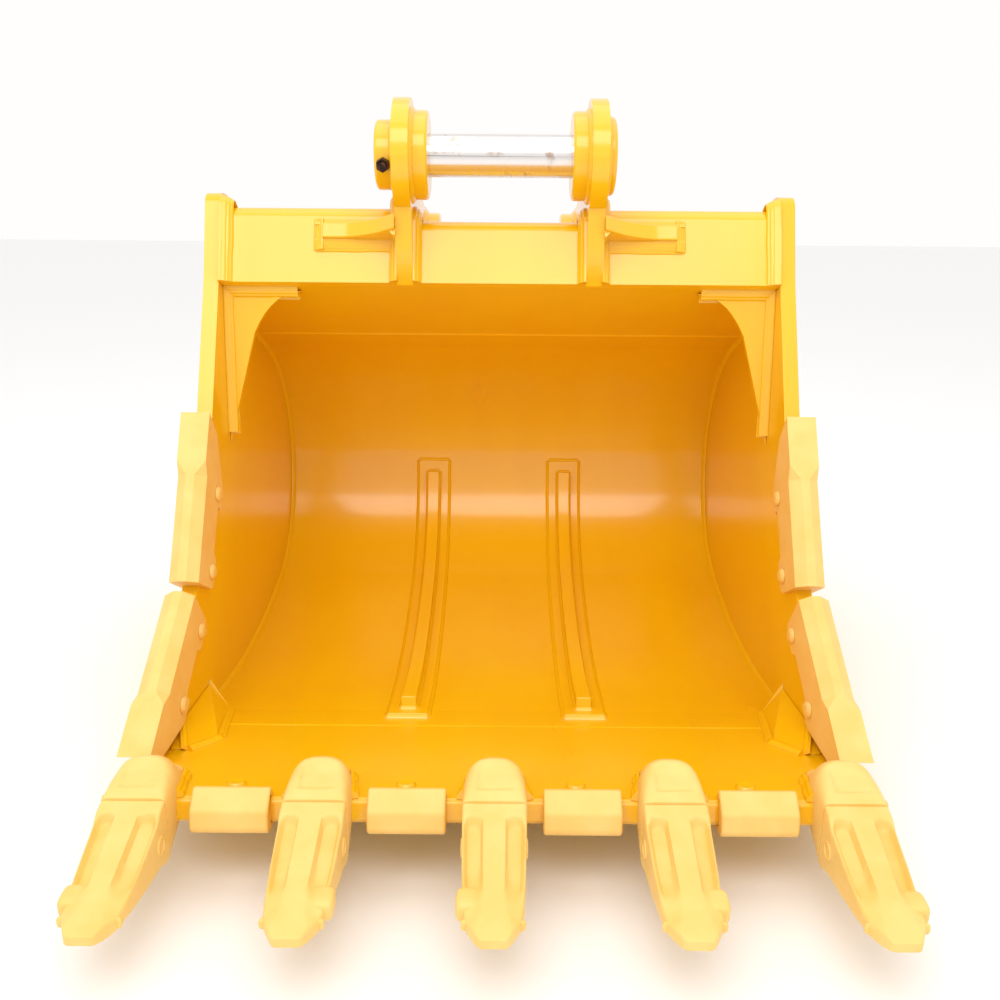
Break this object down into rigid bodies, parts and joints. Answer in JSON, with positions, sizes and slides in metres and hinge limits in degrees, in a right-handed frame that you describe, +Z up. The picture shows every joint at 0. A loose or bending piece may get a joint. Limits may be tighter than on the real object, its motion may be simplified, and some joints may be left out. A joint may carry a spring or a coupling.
{
  "type": "excavator bucket",
  "caption": "Heavy rock excavator bucket: rolled shell, welded sides and torsion tube, ears with bored bosses and pins, cast teeth, lip shrouds and bolt-on side cutters.",
  "frame": {"origin": "under the middle of the bounding box, on the plane that the heel's wear straps touch", "axes": "+Z up, -Y the way the teeth point, +X to the right seen from in front of the mouth"},
  "size_m": [1.5564, 1.9632, 1.4834],
  "materials": {
    "paint": "glossy yellow enamel on welded steel plate",
    "cast": "thin yellow paint over rough cast steel",
    "steel": "ground and polished hardened steel",
    "bolt": "dark oxide with a brown film of rust"
  },
  "bodies": {
    "bucket": {"shell_wrapper": "paint", "roof_plate": "paint", "lip_plate": "paint", "torsion_tube": "paint", "heel_wear_grid": "paint", "side_bar_left": "paint", "side_bar_right": "paint", "side_plate_left": "paint", "side_plate_right": "paint", "mouth_gusset_left": "paint", "mouth_gusset_right": "paint", "ear_gusset_left": "paint", "ear_gusset_right": "paint", "lip_corner_plate_left": "paint", "lip_corner_plate_right": "paint", "ear_left": "paint", "ear_right": "paint", "stick_boss_left": "paint", "stick_boss_right": "paint", "link_boss_left": "paint", "link_boss_right": "paint", "wear_strip_left": "paint", "wear_strip_right": "paint", "side_cutter_upper_left": "cast", "side_cutter_upper_right": "cast", "side_cutter_lower_left": "cast", "side_cutter_lower_right": "cast", "adapter_1": "cast", "adapter_2": "cast", "adapter_3": "cast", "adapter_4": "cast", "adapter_5": "cast", "tooth_1": "cast", "tooth_2": "cast", "tooth_3": "cast", "tooth_4": "cast", "tooth_5": "cast", "lip_shroud_1": "cast", "lip_shroud_2": "cast", "lip_shroud_3": "cast", "lip_shroud_4": "cast", "stick_pin": "steel", "link_pin": "steel", "cutter_bolt_upper_1_left": "bolt", "cutter_bolt_upper_1_right": "bolt", "cutter_bolt_upper_2_left": "bolt", "cutter_bolt_upper_2_right": "bolt", "cutter_bolt_lower_1_left": "bolt", "cutter_bolt_lower_1_right": "bolt", "cutter_bolt_lower_2_left": "bolt", "cutter_bolt_lower_2_right": "bolt"},
    "stick_pin_bolt": {"stick_pin_bolt": "bolt"},
    "link_pin_bolt": {"link_pin_bolt": "bolt"},
    "stick_pin_nut": {"stick_pin_nut": "bolt"},
    "link_pin_nut": {"link_pin_nut": "bolt"},
    "tooth_pin_1": {"tooth_pin_1": "bolt"},
    "tooth_pin_2": {"tooth_pin_2": "bolt"},
    "tooth_pin_3": {"tooth_pin_3": "bolt"},
    "tooth_pin_4": {"tooth_pin_4": "bolt"},
    "tooth_pin_5": {"tooth_pin_5": "bolt"}
  },
  "joints": [
    {"name": "stick_pin_bolt_slide", "type": "slide", "parent": "bucket", "child": "stick_pin_bolt", "axis": [0, 0.9725, 0.233], "range_m": [0, 0.18]},
    {"name": "stick_pin_nut_slide", "type": "slide", "parent": "bucket", "child": "stick_pin_nut", "axis": [0, -0.9725, -0.233], "range_m": [0, 0.02]},
    {"name": "link_pin_bolt_slide", "type": "slide", "parent": "bucket", "child": "link_pin_bolt", "axis": [0, 0.9725, 0.233], "range_m": [0, 0.18]},
    {"name": "link_pin_nut_slide", "type": "slide", "parent": "bucket", "child": "link_pin_nut", "axis": [0, -0.9725, -0.233], "range_m": [0, 0.02]},
    {"name": "tooth_pin_1_slide", "type": "slide", "parent": "bucket", "child": "tooth_pin_1", "axis": [-1, 0, 0], "range_m": [0, 0.12]},
    {"name": "tooth_pin_2_slide", "type": "slide", "parent": "bucket", "child": "tooth_pin_2", "axis": [-1, 0, 0], "range_m": [0, 0.12]},
    {"name": "tooth_pin_3_slide", "type": "slide", "parent": "bucket", "child": "tooth_pin_3", "axis": [1, 0, 0], "range_m": [0, 0.12]},
    {"name": "tooth_pin_4_slide", "type": "slide", "parent": "bucket", "child": "tooth_pin_4", "axis": [1, 0, 0], "range_m": [0, 0.12]},
    {"name": "tooth_pin_5_slide", "type": "slide", "parent": "bucket", "child": "tooth_pin_5", "axis": [1, 0, 0], "range_m": [0, 0.12]}
  ]
}
